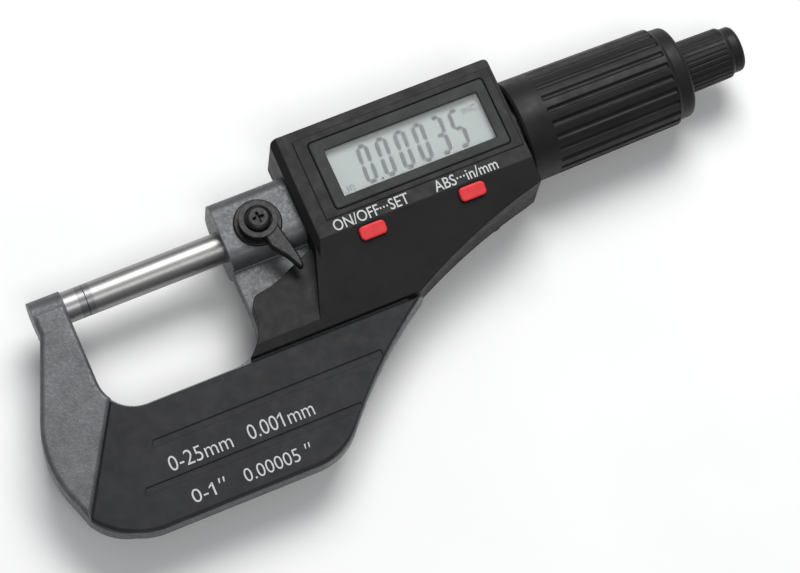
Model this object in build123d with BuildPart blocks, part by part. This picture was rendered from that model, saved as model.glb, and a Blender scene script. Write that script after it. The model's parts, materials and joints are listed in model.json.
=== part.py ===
from build123d import *

import os
from math import atan2, cos, degrees, radians, sin, tan

os.makedirs("parts", exist_ok=True)

# Outside micrometer, 0 to 25 mm, lying on its back with the display up.
# X runs along the spindle from the anvil to the ratchet, Y points from the frame's bow to the
# spindle, Z is the display's normal. The origin is the centre of the anvil's measuring face.

# --- driving dimensions, mm ---
TRAVEL = 25.0
ZERO_GAP = 0.01

SPINDLE_R = 3.25
TIP_LENGTH = 1.5
RUNNING_GAP = 0.03
FIT_GAP = 0.05

# frame
WEB_HALF = 2.0
ARM_HALF = 3.6
ARM_FACE_X = -4.3
ARM_END_X = -11.2
THROAT_RIGHT_X = 29.3
THROAT_FLOOR_Y = -25.0
THROAT_R = 7.5
FRAME_BOTTOM_Y = -50.0
FRAME_RIGHT_X = 62.4
BOSS_R = 6.4
BOSS_X = THROAT_RIGHT_X
BOSS_END_X = 46.3
BOSS_TOP_Y = 8.0
BARREL_R = 5.6
BARREL_END_X = 48.6
SLEEVE_BOSS_R = 6.6
SLEEVE_BOSS_X = 72.0
SLEEVE_BOSS_END_X = 91.0
BRIDGE_TOP_Y = -8.2

ANVIL_SHANK_R = 2.4
ANVIL_SHANK_L = 5.5
SET_SCREW_X = 82.0
SET_SCREW_R = 1.25

# grip plates
PLATE_T = 1.3
PLATE_MARGIN = 0.4
PARTING_Y = -25.5
GROOVE_DEPTH = 0.25

GROOVES = [(-32.7, 1.2, 50.0), (-41.2, -3.7, 42.0)]

# lock
LOCK_X = 37.2
LOCK_STUD_R = 2.0
LOCK_SEAT_R = 4.95
LOCK_SEAT_T = 0.6
LEVER_ARM_LEFT = [(-0.3, -2.6), (0.2, -6.2), (2.4, -9.3), (3.9, -12.5)]
LEVER_ARM_RIGHT = [(4.7, -12.3), (4.7, -10.3), (4.0, -6.2), (3.2, -2.3)]
LEVER_ARM = LEVER_ARM_LEFT + LEVER_ARM_RIGHT
LEVER_HUB_R = 4.0
LEVER_Z = BOSS_R + LOCK_SEAT_T + 0.05
LEVER_TOP_Z = 9.0
LEVER_ARM_T = 1.8
LOCK_SCREW_Z = 8.65
LOCK_PLUG_GAP = 0.1
LOCK_PLUG_L = 1.1
LOCK_HEX_R = 1.7
LOCK_HEX_H = 1.2
LOCK_SCREW_HEAD_T = 1.35
LOCK_SCREW_R = 0.9
LOCK_SCREW_HEAD_R = 2.6

# housing
HOUSING_LEFT_X = 45.5
HOUSING_RIGHT_X = 93.4
HOUSING_FOOT_X = 40.5
HOUSING_TOP_Y = 14.2
HOUSING_LOW_Y = -24.7
HOUSING_FRONT_Z = 9.6
HOUSING_BACK_Z = -11.2
WALL = 1.5
TAPER_Z = 5.2
TAPER_IN = 1.6
BEVEL = 1.3
SLOPE_TOP_Y = -8.8
SLOPE_LOW_Z = 3.9
SLOPE_ANGLE = degrees(atan2(HOUSING_FRONT_Z - SLOPE_LOW_Z, SLOPE_TOP_Y - HOUSING_LOW_Y))
WING_T = 2.6
BEZEL_X = 52.3
BEZEL_END_X = 90.7
BEZEL_Y = -4.4
BEZEL_TOP_Y = 10.6
BEZEL_T = 1.1
BEZEL_Z = HOUSING_FRONT_Z - 0.8
SCREW_PLACES = [(50.2, 10.9), (89.2, 10.9), (48.9, -21.2), (84.5, -12.6)]
SCREW_R = 0.9
SCREW_HEAD_R = 1.7
SCREW_BOSS_R = 2.1
SCREW_SEAT_R = 2.45
SCREW_REACH = 3.0
FIELD_X = 49.6
FIELD_Y = -5.7
FIELD_T = 0.15

# display and electronics
WINDOW_MARGIN = 0.4
DISPLAY_X = 71.7
DISPLAY_Y = 2.9
DISPLAY_W = 33.6
DISPLAY_H = 10.5
LCD_T = 1.0
CONNECTOR_T = 0.6
BOARD_T = 0.6
BOARD_SCREW_PLACES = [(75.5, 10.4), (54.5, -5.8)]
BOARD_SCREW_R = 0.7
BOARD_TOP_Z = HOUSING_FRONT_Z - WALL - LCD_T - CONNECTOR_T

# buttons
BUTTON_XS = [57.4, 79.2]
BUTTON_W = 5.6
BUTTON_H = 2.9
BUTTON_DOWN = 2.1
BUTTON_PROUD = 0.9
BUTTON_GAP = 0.1
KEY_BOARD_DEPTH = 2.9

# encoder
ENCODER_R = 7.6
ENCODER_T = 1.0
ENCODER_GAP = 0.3
ROTOR_BORE_R = 4.0
ROTOR_BUSH_R = 5.0
ROTOR_BUSH_END_X = 57.0
KEY_X = 55.5
KEY_W = 1.0
KEYWAY_FLOOR = 2.5

# battery
BATTERY_X = 64.4
BATTERY_Y = -4.5
BATTERY_R = 5.8
BATTERY_H = 5.4
BATTERY_Z = -9.2
COVER_R = 7.0
COVER_TAB_R = 7.9
COVER_TAB_W = 2.4
COVER_TURN = 60.0

# sleeve, spindle thread and thimble
THREAD_R = 4.0
THREAD_X = 83.0
THREAD_END_X = 124.3
SLEEVE_SHANK_R = 5.5
SLEEVE_R = 7.75
SLEEVE_END_X = 123.3
NUT_X = 117.5
THIMBLE_X = 94.0
THIMBLE_END_X = 131.4
THIMBLE_R = 11.0
THIMBLE_DRAFT = 0.9
CORE_R = 9.6
CORE_BORE_R = 8.1
CORE_WALL_X = 125.3
CORE_END_X = 128.3
TAPER_SEAT_R = 3.0
RIB_COUNT = 24
RIB_X = 100.1
RIB_END_X = 127.3

# ratchet
KNOB_X = 131.8
KNOB_END_X = 142.9
KNOB_R = 5.6
KNOB_BORE_R = 4.5
KNOB_RIB_COUNT = 30
RATCHET_CAP_END_X = 145.4
KNOB_WALL_X = 140.1
KNOB_WALL_END_X = 141.4
KNOB_CAP_R = 3.9
RATCHET_SHAFT_R = 2.0
RATCHET_HUB_R = 3.4
RATCHET_THREAD_R = 1.5
RATCHET_HEAD_X = 141.5
RATCHET_HEAD_R = 2.9
PAWL_X = 133.72


# derived places
BEZEL_W = BEZEL_END_X - BEZEL_X
BEZEL_H = BEZEL_TOP_Y - BEZEL_Y
BEZEL_CENTRE = ((BEZEL_X + BEZEL_END_X) / 2, (BEZEL_Y + BEZEL_TOP_Y) / 2)
KEYWAY_X = KEY_X - 1.2 - TRAVEL
KEYWAY_END_X = KEY_X + 1.6


def along_x(x):
    """Workplane square to the spindle at x; its local axes are Y and Z."""
    return Plane.YZ.offset(x)


def save(builder, name):
    builder.part.label = name
    export_step(builder.part, f"parts/{name}.step")


# --- frame: one casting, with the anvil arm, the bow, the spindle boss and the sleeve boss ---
LEFT_CURVE = [(-17.6, -20.5), (-19.35, -30.0), (-17.4, -38.8)]
LEFT_CORNER = [(-16.0, -43.2), (-13.5, -46.2), (-8.8, -48.6)]
BOW_LEFT = (-3.2, FRAME_BOTTOM_Y)
BOW_RIGHT = (29.3, FRAME_BOTTOM_Y)
RIGHT_CORNER = [(35.0, -48.8), (39.7, -45.1)]
RIGHT_ARM = [(50.5, -34.5), (FRAME_RIGHT_X, -25.9)]
PLATE_DIAGONAL = [(-2.75, -20.9), (-17.4, -45.4)]

with BuildSketch() as frame_outline:
    with BuildLine():
        Polyline((ARM_FACE_X, 0), (ARM_END_X, 0), (ARM_END_X, -4.4), LEFT_CURVE[0])
        ThreePointArc(*LEFT_CURVE)
        Line(LEFT_CURVE[2], LEFT_CORNER[0])
        ThreePointArc(*LEFT_CORNER)
        ThreePointArc(LEFT_CORNER[2], (-6.0, -49.6), BOW_LEFT)
        Line(BOW_LEFT, BOW_RIGHT)
        ThreePointArc(BOW_RIGHT, *RIGHT_CORNER)
        ThreePointArc(RIGHT_CORNER[1], *RIGHT_ARM)
        Polyline(
            RIGHT_ARM[1],
            (FRAME_RIGHT_X, PARTING_Y + 0.3),
            (59.5, PARTING_Y + 0.3),
            (59.5, -22.0),
            (74.0, -16.2),
            (89.0, -11.6),
            (89.0, -SLEEVE_BOSS_R / 2),
            (74.0, -SLEEVE_BOSS_R / 2),
            (74.0, BRIDGE_TOP_Y),
            (BARREL_END_X, BRIDGE_TOP_Y),
            (BOSS_END_X, -BARREL_R),
            (BOSS_END_X, 0),
            (THROAT_RIGHT_X, 0),
            (THROAT_RIGHT_X, THROAT_FLOOR_Y + THROAT_R),
        )
        CenterArc(
            (THROAT_RIGHT_X - THROAT_R, THROAT_FLOOR_Y + THROAT_R), THROAT_R, 0, -90
        )
        Line((THROAT_RIGHT_X - THROAT_R, THROAT_FLOOR_Y), (ARM_FACE_X + THROAT_R, THROAT_FLOOR_Y))
        CenterArc((ARM_FACE_X + THROAT_R, THROAT_FLOOR_Y + THROAT_R), THROAT_R, -90, -90)
        Line((ARM_FACE_X, THROAT_FLOOR_Y + THROAT_R), (ARM_FACE_X, 0))
    make_face()

with BuildSketch() as arm_outline:
    add(frame_outline.sketch)
    with BuildLine():
        Polyline(PLATE_DIAGONAL[0], PLATE_DIAGONAL[1], (-25, -55), (-25, 5), (2, 5), close=True)
    make_face(mode=Mode.INTERSECT)

with BuildPart() as frame:
    add(frame_outline.sketch)
    extrude(amount=WEB_HALF, both=True)
    add(arm_outline.sketch)
    extrude(amount=ARM_HALF, both=True)
    arm_faces = frame.faces().filter_by(Axis.Z).group_by(Axis.Z)
    fillet(arm_faces[0].edges() + arm_faces[-1].edges(), 1.0)
    with BuildSketch(along_x(ARM_END_X)):
        Circle(ARM_HALF)
    extrude(amount=ARM_FACE_X - ARM_END_X)
    # spindle boss: a rounded block that carries the lock
    with BuildSketch(along_x(BOSS_X)):
        with Locations(((BOSS_TOP_Y - BOSS_R) / 2, 0)):
            RectangleRounded(BOSS_TOP_Y + BOSS_R, 2 * BOSS_R, 3.2)
    extrude(amount=BOSS_END_X - BOSS_X)
    with BuildSketch(along_x(BOSS_END_X)):
        Circle(BARREL_R)
    extrude(amount=BARREL_END_X - BOSS_END_X)
    # sleeve boss, with a flat that clears the circuit board
    with BuildSketch(along_x(SLEEVE_BOSS_X)):
        Circle(SLEEVE_BOSS_R)
    extrude(amount=SLEEVE_BOSS_END_X - SLEEVE_BOSS_X)
    with BuildSketch(Plane.XY.offset(BOARD_TOP_Z - BOARD_T - 0.2)):
        with Locations(((SLEEVE_BOSS_X + SLEEVE_BOSS_END_X) / 2, 0)):
            Rectangle(30, 12)
    extrude(amount=5, mode=Mode.SUBTRACT)
    # bores: anvil shank, spindle, sleeve, lock stud and housing screws
    with BuildSketch(along_x(ARM_FACE_X)):
        Circle(ANVIL_SHANK_R)
    extrude(amount=-ANVIL_SHANK_L, mode=Mode.SUBTRACT)
    with BuildSketch(along_x(BOSS_X)):
        Circle(SPINDLE_R + RUNNING_GAP)
    extrude(amount=BARREL_END_X - BOSS_X, mode=Mode.SUBTRACT)
    with BuildSketch(along_x(SLEEVE_BOSS_X)):
        Circle(SLEEVE_SHANK_R)
    extrude(amount=SLEEVE_BOSS_END_X - SLEEVE_BOSS_X, mode=Mode.SUBTRACT)
    with BuildSketch(Plane.XY):
        with Locations((LOCK_X, 0)):
            Circle(LOCK_STUD_R)
    extrude(amount=BOSS_R + 1, mode=Mode.SUBTRACT)
    with BuildSketch(Plane.XY.offset(-ARM_HALF)):
        with Locations(*SCREW_PLACES):
            Circle(SCREW_R + 0.3)
    extrude(amount=2 * ARM_HALF, mode=Mode.SUBTRACT)
    with BuildSketch(Plane.XY.offset(-SLEEVE_BOSS_R - 1)):
        with Locations((SET_SCREW_X, 0)):
            Circle(SET_SCREW_R)
    extrude(amount=SLEEVE_BOSS_R - 3, mode=Mode.SUBTRACT)
save(frame, "frame")

# --- anvil and its measuring tip ---
with BuildPart() as anvil:
    with BuildSketch(along_x(ARM_FACE_X - ANVIL_SHANK_L)):
        Circle(ANVIL_SHANK_R)
    extrude(amount=ANVIL_SHANK_L)
    with BuildSketch(along_x(ARM_FACE_X)):
        Circle(SPINDLE_R)
    extrude(amount=-ARM_FACE_X - TIP_LENGTH)
    chamfer(anvil.faces().sort_by(Axis.X)[0].edges(), 0.3)
save(anvil, "anvil")

with BuildPart() as anvil_tip:
    with BuildSketch(along_x(-TIP_LENGTH)):
        Circle(SPINDLE_R)
    extrude(amount=TIP_LENGTH)
save(anvil_tip, "anvil_tip")

# --- grip plates: one on each side of the bow ---
PLATE_TIP = (-3.4, -22.1)
PLATE_FOOT = (-15.65, -42.8)
PLATE_BOTTOM_Y = FRAME_BOTTOM_Y + PLATE_MARGIN

with BuildSketch() as plate_outline:
    with BuildLine():
        Line((ARM_FACE_X + THROAT_R, PARTING_Y), (FRAME_RIGHT_X - 0.9, PARTING_Y))
        ThreePointArc((FRAME_RIGHT_X - 0.9, PARTING_Y), (50.2, -34.2), (39.4, -44.9))
        ThreePointArc((39.4, -44.9), (34.8, -48.4), (29.3, PLATE_BOTTOM_Y))
        Line((29.3, PLATE_BOTTOM_Y), (-3.2, PLATE_BOTTOM_Y))
        ThreePointArc((-3.2, PLATE_BOTTOM_Y), (-10.6, -47.4), PLATE_FOOT)
        Line(PLATE_FOOT, PLATE_TIP)
        ThreePointArc(PLATE_TIP, (-0.8, -24.43), (ARM_FACE_X + THROAT_R, PARTING_Y))
    make_face()


with BuildSketch() as plate_grooves:
    for y, x_left, x_right in GROOVES:
        with BuildLine():
            Polyline(
                (x_left, y), (x_right, y), (x_right, y - 1.5), (x_left - 0.8, y - 1.5), close=True
            )
        make_face()


with BuildPart() as front_grip_plate:
    with BuildSketch(Plane.XY.offset(WEB_HALF)):
        add(plate_outline.sketch)
    extrude(amount=PLATE_T)
    chamfer(front_grip_plate.faces().sort_by(Axis.Z)[-1].edges(), 0.25)
    with BuildSketch(Plane.XY.offset(WEB_HALF + PLATE_T - GROOVE_DEPTH)):
        add(plate_grooves.sketch)
    extrude(amount=1, mode=Mode.SUBTRACT)
save(front_grip_plate, "front_grip_plate")

with BuildPart() as rear_grip_plate:
    with BuildSketch(Plane.XY.offset(-WEB_HALF)):
        add(plate_outline.sketch)
    extrude(amount=-PLATE_T)
    chamfer(rear_grip_plate.faces().sort_by(Axis.Z)[0].edges(), 0.25)
    with BuildSketch(Plane.XY.offset(-WEB_HALF - PLATE_T + GROOVE_DEPTH)):
        add(plate_grooves.sketch)
    extrude(amount=-1, mode=Mode.SUBTRACT)
save(rear_grip_plate, "rear_grip_plate")

# --- housing shells ---
with BuildSketch() as housing_outline:
    with BuildLine():
        Polyline(
            (HOUSING_RIGHT_X, -13.6),
            (HOUSING_RIGHT_X, HOUSING_TOP_Y),
            (HOUSING_LEFT_X, HOUSING_TOP_Y),
            (HOUSING_LEFT_X, SLOPE_TOP_Y - 0.7),
            (HOUSING_FOOT_X, HOUSING_LOW_Y),
            (FRAME_RIGHT_X, HOUSING_LOW_Y),
        )
        ThreePointArc((FRAME_RIGHT_X, HOUSING_LOW_Y), (77.1, -18.4), (91.4, -14.2))
        Line((91.4, -14.2), (HOUSING_RIGHT_X, -13.6))
    make_face()
    fillet(housing_outline.vertices().sort_by(Axis.Y)[-2:], 1.0)

with BuildSketch() as cavity_outline:
    add(housing_outline.sketch)
    offset(amount=-WALL)

with BuildSketch() as wing_outline:
    with BuildLine():
        Line((HOUSING_LEFT_X + 1, HOUSING_LOW_Y), (25.4, HOUSING_LOW_Y))
        ThreePointArc((25.4, HOUSING_LOW_Y), (28.3, -21.3), (29.6, -17.1))
        Spline((29.6, -17.1), (30.2, -14.4), (31.1, -13.4), (33.1, -12.95), (36.2, -12.2), (39.4, -10.8))
        Polyline((39.4, -10.8), (HOUSING_LEFT_X + 1, -8.0), (HOUSING_LEFT_X + 1, HOUSING_LOW_Y))
    make_face()

slope = Plane(
    origin=(0, SLOPE_TOP_Y, HOUSING_FRONT_Z),
    x_dir=(1, 0, 0),
    z_dir=(0, -sin(radians(SLOPE_ANGLE)), cos(radians(SLOPE_ANGLE))),
)


def beyond_slope(depth):
    """Sketch on the sloping lower face, sunk by depth, that covers the whole housing."""
    with BuildSketch(slope.offset(-depth)) as cover:
        with Locations((60, -20)):
            Rectangle(100, 40)
    return cover.sketch


with BuildPart() as front_cavity:
    with BuildSketch(Plane.XY.offset(-1)):
        add(cavity_outline.sketch)
    extrude(amount=HOUSING_FRONT_Z - WALL + 1)
    extrude(beyond_slope(WALL), amount=12, mode=Mode.SUBTRACT)

with BuildPart() as housing_front:
    with BuildSketch(Plane.XY):
        add(housing_outline.sketch)
    extrude(amount=HOUSING_FRONT_Z)
    extrude(beyond_slope(0), amount=12, mode=Mode.SUBTRACT)
    # bevel along the left side of the face
    with BuildSketch(Plane.XZ):
        with BuildLine():
            Polyline(
                (HOUSING_LEFT_X, HOUSING_FRONT_Z - BEVEL),
                (HOUSING_LEFT_X, HOUSING_FRONT_Z + 1),
                (HOUSING_LEFT_X + BEVEL, HOUSING_FRONT_Z + 1),
                (HOUSING_LEFT_X + BEVEL, HOUSING_FRONT_Z),
                close=True,
            )
        make_face()
    extrude(amount=40, both=True, mode=Mode.SUBTRACT)
    with BuildSketch(Plane.XY.offset(WEB_HALF)):
        add(wing_outline.sketch)
    extrude(amount=WING_T)
    extrude(beyond_slope(0), amount=12, mode=Mode.SUBTRACT)
    add(front_cavity.part, mode=Mode.SUBTRACT)
    # raised field round the bezel
    with BuildSketch(Plane.XY.offset(HOUSING_FRONT_Z)):
        with BuildLine():
            Polyline(
                (FIELD_X, HOUSING_TOP_Y - 2),
                (FIELD_X, FIELD_Y),
                (HOUSING_RIGHT_X - 0.6, FIELD_Y),
                (HOUSING_RIGHT_X - 0.6, HOUSING_TOP_Y - 2),
                close=True,
            )
        make_face()
    extrude(amount=FIELD_T)
    # screw bosses
    with BuildSketch(Plane.XY):
        with Locations(*SCREW_PLACES):
            Circle(SCREW_BOSS_R)
    extrude(amount=BOARD_TOP_Z - BOARD_T - 0.1)
    extrude(beyond_slope(0), amount=12, mode=Mode.SUBTRACT)
    add(frame.part, mode=Mode.SUBTRACT)
    with BuildSketch(Plane.XY):
        with Locations(*SCREW_PLACES):
            Circle(SCREW_R)
    extrude(amount=SCREW_REACH + 0.1, mode=Mode.SUBTRACT)
    # display opening and the pocket for the bezel
    with BuildSketch(Plane.XY.offset(HOUSING_FRONT_Z - WALL)):
        with Locations((DISPLAY_X, DISPLAY_Y)):
            Rectangle(DISPLAY_W + 2 * WINDOW_MARGIN + 0.1, DISPLAY_H + 2 * WINDOW_MARGIN + 0.1)
    extrude(amount=WALL + 1, mode=Mode.SUBTRACT)
    with BuildSketch(Plane.XY.offset(BEZEL_Z)):
        with Locations(BEZEL_CENTRE):
            RectangleRounded(BEZEL_W + 0.3, BEZEL_H + 0.3, 0.9)
    extrude(amount=3, mode=Mode.SUBTRACT)
    # button windows and the sleeve's way out
    with BuildSketch(slope.offset(-WALL - 1)):
        with Locations(*[(x, -BUTTON_DOWN) for x in BUTTON_XS]):
            RectangleRounded(BUTTON_W + 2 * BUTTON_GAP, BUTTON_H + 2 * BUTTON_GAP, 1.0)
    extrude(amount=WALL + 2, mode=Mode.SUBTRACT)
    with BuildSketch(along_x(HOUSING_LEFT_X - 1)):
        Circle(SPINDLE_R + 1)
    extrude(amount=WALL + TAPER_IN + 2, mode=Mode.SUBTRACT)
    with BuildSketch(along_x(HOUSING_RIGHT_X - WALL - TAPER_IN - 1)):
        Circle(SLEEVE_SHANK_R + FIT_GAP)
    extrude(amount=WALL + TAPER_IN + 2, mode=Mode.SUBTRACT)
save(housing_front, "housing_front")

with BuildPart() as rear_cavity:
    with BuildSketch(Plane.XY.offset(1)):
        add(cavity_outline.sketch)
    extrude(amount=-TAPER_Z - 1)
    with BuildSketch(Plane.XY):
        add(cavity_outline.sketch)
        offset(amount=-TAPER_IN)
    extrude(amount=HOUSING_BACK_Z + WALL)

with BuildPart() as housing_rear:
    with BuildSketch(Plane.XY):
        add(housing_outline.sketch)
    extrude(amount=-TAPER_Z)
    with BuildSketch(Plane.XY.offset(-TAPER_Z)):
        add(housing_outline.sketch)
    extrude(amount=HOUSING_BACK_Z + TAPER_Z, taper=degrees(atan2(TAPER_IN, -HOUSING_BACK_Z - TAPER_Z)))
    with BuildSketch(Plane.XY.offset(-WEB_HALF)):
        add(wing_outline.sketch)
    extrude(amount=-WING_T)
    add(rear_cavity.part, mode=Mode.SUBTRACT)
    with BuildSketch(Plane.XY):
        with Locations(*SCREW_PLACES):
            Circle(SCREW_SEAT_R)
    extrude(amount=HOUSING_BACK_Z + 1)
    add(frame.part, mode=Mode.SUBTRACT)
    with BuildSketch(Plane.XY):
        with Locations(*SCREW_PLACES):
            Circle(SCREW_R + 0.05)
    extrude(amount=HOUSING_BACK_Z, mode=Mode.SUBTRACT)
    with BuildSketch(Plane.XY.offset(HOUSING_BACK_Z)):
        with Locations(*SCREW_PLACES):
            Circle(SCREW_HEAD_R + 0.15)
    extrude(amount=1.7, mode=Mode.SUBTRACT)
    # battery hatch with two entry notches for the cover's tabs
    with BuildSketch(Plane.XY.offset(HOUSING_BACK_Z)):
        with Locations((BATTERY_X, BATTERY_Y)):
            Circle(COVER_R + FIT_GAP)
        with Locations(Location((BATTERY_X, BATTERY_Y, 0), (0, 0, COVER_TURN))):
            Rectangle(2 * COVER_TAB_R + 0.6, COVER_TAB_W + 0.6)
    extrude(amount=WALL, mode=Mode.SUBTRACT)
    with BuildSketch(along_x(HOUSING_LEFT_X - 1)):
        Circle(SPINDLE_R + 1)
    extrude(amount=WALL + TAPER_IN + 2, mode=Mode.SUBTRACT)
    with BuildSketch(along_x(HOUSING_RIGHT_X - WALL - TAPER_IN - 1)):
        Circle(SLEEVE_SHANK_R + FIT_GAP)
    extrude(amount=WALL + TAPER_IN + 2, mode=Mode.SUBTRACT)
save(housing_rear, "housing_rear")

with BuildPart() as housing_screws:
    with BuildSketch(Plane.XY.offset(HOUSING_BACK_Z + 0.2)):
        with Locations(*SCREW_PLACES):
            Circle(SCREW_HEAD_R)
    extrude(amount=1.5)
    with BuildSketch(Plane.XY.offset(HOUSING_BACK_Z + 1.7)):
        with Locations(*SCREW_PLACES):
            Circle(SCREW_R)
    extrude(amount=SCREW_REACH - HOUSING_BACK_Z - 1.7)
    with BuildSketch(Plane.XY.offset(HOUSING_BACK_Z + 0.2)):
        with Locations(*SCREW_PLACES):
            Rectangle(1.9, 0.45)
            Rectangle(0.45, 1.9)
    extrude(amount=0.7, mode=Mode.SUBTRACT)
save(housing_screws, "housing_screws")

# --- display: bezel, window, liquid-crystal panel, connectors and boards ---
with BuildPart() as display_bezel:
    with BuildSketch(Plane.XY.offset(BEZEL_Z)):
        with Locations(BEZEL_CENTRE):
            RectangleRounded(BEZEL_W, BEZEL_H, 0.8)
    extrude(amount=BEZEL_T)
    chamfer(display_bezel.faces().sort_by(Axis.Z)[-1].edges(), 0.2)
    with BuildSketch(Plane.XY.offset(BEZEL_Z)):
        with Locations((DISPLAY_X, DISPLAY_Y)):
            Rectangle(DISPLAY_W, DISPLAY_H)
    extrude(amount=BEZEL_T, mode=Mode.SUBTRACT)
    with BuildSketch(Plane.XY.offset(BEZEL_Z)):
        with Locations((DISPLAY_X, DISPLAY_Y)):
            Rectangle(DISPLAY_W + 2 * WINDOW_MARGIN, DISPLAY_H + 2 * WINDOW_MARGIN)
    extrude(amount=BEZEL_T - 0.6, mode=Mode.SUBTRACT)
save(display_bezel, "display_bezel")

with BuildPart() as display_window:
    with BuildSketch(Plane.XY.offset(HOUSING_FRONT_Z - WALL)):
        with Locations((DISPLAY_X, DISPLAY_Y)):
            Rectangle(DISPLAY_W + 2 * WINDOW_MARGIN, DISPLAY_H + 2 * WINDOW_MARGIN)
    extrude(amount=BEZEL_Z + BEZEL_T - 0.6 - HOUSING_FRONT_Z + WALL)
save(display_window, "display_window")

with BuildPart() as lcd_panel:
    with BuildSketch(Plane.XY.offset(HOUSING_FRONT_Z - WALL - LCD_T)):
        with Locations((DISPLAY_X, DISPLAY_Y)):
            Rectangle(DISPLAY_W + 2.2, DISPLAY_H + 2.2)
    extrude(amount=LCD_T)
save(lcd_panel, "lcd_panel")

with BuildPart() as display_connectors:
    with BuildSketch(Plane.XY.offset(BOARD_TOP_Z)):
        with Locations((DISPLAY_X, DISPLAY_Y + 5.4), (DISPLAY_X, DISPLAY_Y - 5.4)):
            Rectangle(DISPLAY_W - 2, 1.4)
    extrude(amount=CONNECTOR_T)
save(display_connectors, "display_connectors")

with BuildPart() as main_board:
    with BuildSketch(Plane.XY.offset(BOARD_TOP_Z - BOARD_T)):
        with Locations((71.7, 2.0)):
            Rectangle(38.4, 19.0)
        with Locations(*BOARD_SCREW_PLACES):
            Circle(BOARD_SCREW_R, mode=Mode.SUBTRACT)
    extrude(amount=BOARD_T)
    with BuildSketch(Plane.XY.offset(BOARD_TOP_Z - BOARD_T)):
        with Locations((62.0, 1.0)):
            Rectangle(6.0, 6.0)
        with Locations((68.4, 8.6), (57.0, 8.4)):
            Rectangle(2.6, 1.4)
    extrude(amount=-0.9)
save(main_board, "main_board")

with BuildPart() as board_screws:
    with BuildSketch(Plane.XY.offset(BOARD_TOP_Z)):
        with Locations(*BOARD_SCREW_PLACES):
            Circle(1.3)
    extrude(amount=0.5)
    with BuildSketch(Plane.XY.offset(BOARD_TOP_Z - 3.4)):
        with Locations(*BOARD_SCREW_PLACES):
            Circle(BOARD_SCREW_R)
    extrude(amount=3.4)
save(board_screws, "board_screws")

# --- buttons, their domes and the key board, all square to the sloping face ---
press_axis = Axis((0, 0, 0), slope.z_dir)

for side, button_x in zip(["set", "mode"], BUTTON_XS):
    with BuildPart() as button:
        with BuildSketch(slope.offset(-WALL - FIT_GAP)):
            with Locations((button_x, -BUTTON_DOWN)):
                RectangleRounded(BUTTON_W, BUTTON_H, 0.95)
        extrude(amount=WALL + FIT_GAP + BUTTON_PROUD)
        fillet(button.faces().sort_by(press_axis)[-1].edges(), 0.4)
        with BuildSketch(slope.offset(-WALL - FIT_GAP)):
            with Locations((button_x, -BUTTON_DOWN)):
                Rectangle(BUTTON_W + 1.2, BUTTON_H + 1.0)
        extrude(amount=-0.5)
        with BuildSketch(slope.offset(-WALL - FIT_GAP - 0.5)):
            with Locations((button_x, -BUTTON_DOWN)):
                Circle(0.9)
        extrude(amount=-0.2)
    save(button, f"button_{side}")

with BuildPart() as key_domes:
    with BuildSketch(slope.offset(-KEY_BOARD_DEPTH)):
        with Locations(*[(x, -BUTTON_DOWN - 0.4) for x in BUTTON_XS]):
            Circle(1.9)
    extrude(amount=0.25)
save(key_domes, "key_domes")

with BuildPart() as key_board:
    with BuildSketch(slope.offset(-KEY_BOARD_DEPTH)):
        with Locations(((BUTTON_XS[0] + BUTTON_XS[1]) / 2, -BUTTON_DOWN - 0.9)):
            Rectangle(BUTTON_XS[1] - BUTTON_XS[0] + 6.2, 4.6)
    extrude(amount=-0.6)
save(key_board, "key_board")

# --- encoder: fixed stator, and a rotor on a keyed bush that the spindle slides through ---
STATOR_X = BARREL_END_X
ROTOR_X = STATOR_X + ENCODER_T + ENCODER_GAP
BUSH_X = ROTOR_X + ENCODER_T

with BuildPart() as encoder_stator:
    with BuildSketch(along_x(STATOR_X)):
        Circle(ENCODER_R)
        Circle(ROTOR_BORE_R, mode=Mode.SUBTRACT)
    extrude(amount=ENCODER_T)
save(encoder_stator, "encoder_stator")

with BuildPart() as encoder_rotor:
    with BuildSketch(along_x(ROTOR_X)):
        Circle(ENCODER_R)
        Circle(ROTOR_BORE_R, mode=Mode.SUBTRACT)
    extrude(amount=ENCODER_T)
save(encoder_rotor, "encoder_rotor")

with BuildPart() as rotor_bush:
    with BuildSketch(along_x(ROTOR_X)):
        Circle(ROTOR_BORE_R)
    extrude(amount=ENCODER_T)
    with BuildSketch(along_x(BUSH_X)):
        Circle(ROTOR_BUSH_R)
    extrude(amount=ROTOR_BUSH_END_X - BUSH_X)
    with BuildSketch(along_x(ROTOR_X)):
        Circle(SPINDLE_R + RUNNING_GAP)
    extrude(amount=ROTOR_BUSH_END_X - ROTOR_X, mode=Mode.SUBTRACT)
    with BuildSketch(Plane.XY.offset(1 - SPINDLE_R)):
        with Locations((KEY_X, 0)):
            Rectangle(1.6, KEY_W)
    extrude(amount=-5, mode=Mode.SUBTRACT)
save(rotor_bush, "rotor_bush")

with BuildPart() as rotor_key:
    with BuildSketch(Plane.XY.offset(-KEYWAY_FLOOR - 0.1)):
        with Locations((KEY_X, 0)):
            Rectangle(1.6, KEY_W)
    extrude(amount=KEYWAY_FLOOR + 0.3 - ROTOR_BUSH_R)
save(rotor_key, "rotor_key")

with BuildPart() as rotor_retainer:
    with BuildSketch(along_x(ROTOR_BUSH_END_X + 0.1)):
        Circle(ROTOR_BUSH_R)
        with Locations((BRIDGE_TOP_Y / 2 - 1, 0)):
            Rectangle(-BRIDGE_TOP_Y - 2, 2 * WEB_HALF)
        Circle(SPINDLE_R + 0.35, mode=Mode.SUBTRACT)
    extrude(amount=1.0)
save(rotor_retainer, "rotor_retainer")

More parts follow.
